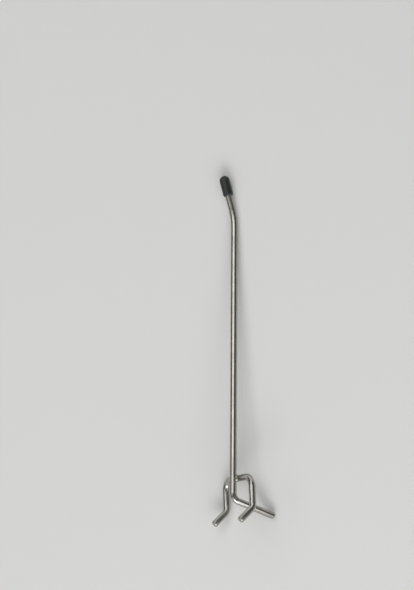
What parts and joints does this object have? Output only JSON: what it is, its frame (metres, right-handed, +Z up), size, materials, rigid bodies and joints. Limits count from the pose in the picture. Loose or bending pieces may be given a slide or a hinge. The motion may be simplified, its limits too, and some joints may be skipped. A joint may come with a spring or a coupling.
{
  "type": "pegboard hook",
  "caption": "Straight wire pegboard hook with a turned-up vinyl tip, a welded cross yoke whose prongs go through the board's holes, and a lower leg that bears on the board.",
  "frame": {"origin": "on the board's front face, midway between the holes that the prongs go through", "axes": "+Y into the board, +Z up as mounted, X across the board; the arm reaches towards -Y and the hook is mirrored about X = 0"},
  "size_m": [0.0286, 0.1535, 0.0739],
  "materials": {
    "zinc_plated_steel": "bright zinc plate on drawn wire",
    "black_vinyl": "satin dip coating"
  },
  "bodies": {
    "root": {"shaft_wire": "zinc_plated_steel", "prong_yoke": "zinc_plated_steel", "vinyl_tip": "black_vinyl"}
  },
  "joints": []
}
